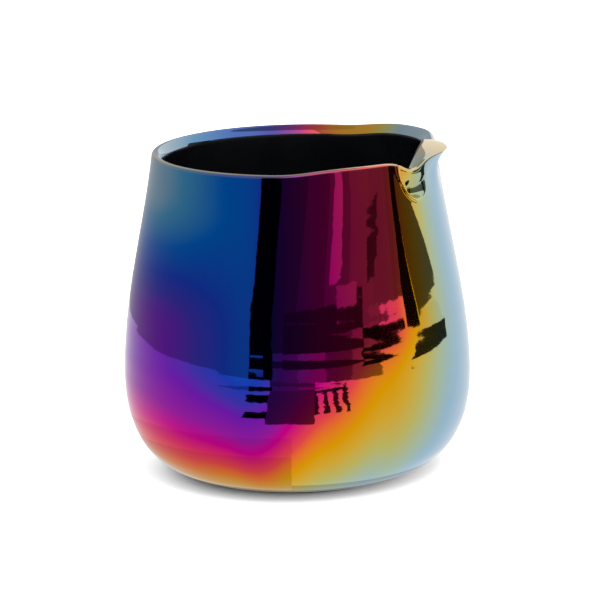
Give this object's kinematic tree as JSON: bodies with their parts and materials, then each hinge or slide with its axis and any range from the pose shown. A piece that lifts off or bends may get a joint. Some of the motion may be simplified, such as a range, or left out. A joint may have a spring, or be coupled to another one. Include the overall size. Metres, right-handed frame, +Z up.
{
  "type": "milk frothing pitcher",
  "caption": "Handle-less ceramic milk jug with a rounded belly, a plain rim and a hand-pulled pouring lip, in a mirror-bright rainbow lustre glaze.",
  "frame": {"origin": "centre of the foot, on the surface that the jug stands on", "axes": "+Z up through the mouth; +X towards the pouring lip; +Y to the left of someone pouring away along +X"},
  "size_m": [0.096, 0.0958, 0.0921],
  "materials": {
    "clay": "unglazed charcoal stoneware, fine matt",
    "lustre_glaze": "mirror-bright iridescent metallic lustre, teal and blue through violet, magenta and gold",
    "liner_glaze": "black satin glaze"
  },
  "bodies": {
    "root": {"clay_body": "clay", "outer_glaze": "lustre_glaze", "inner_glaze": "liner_glaze", "base_glaze": "liner_glaze"}
  },
  "joints": []
}
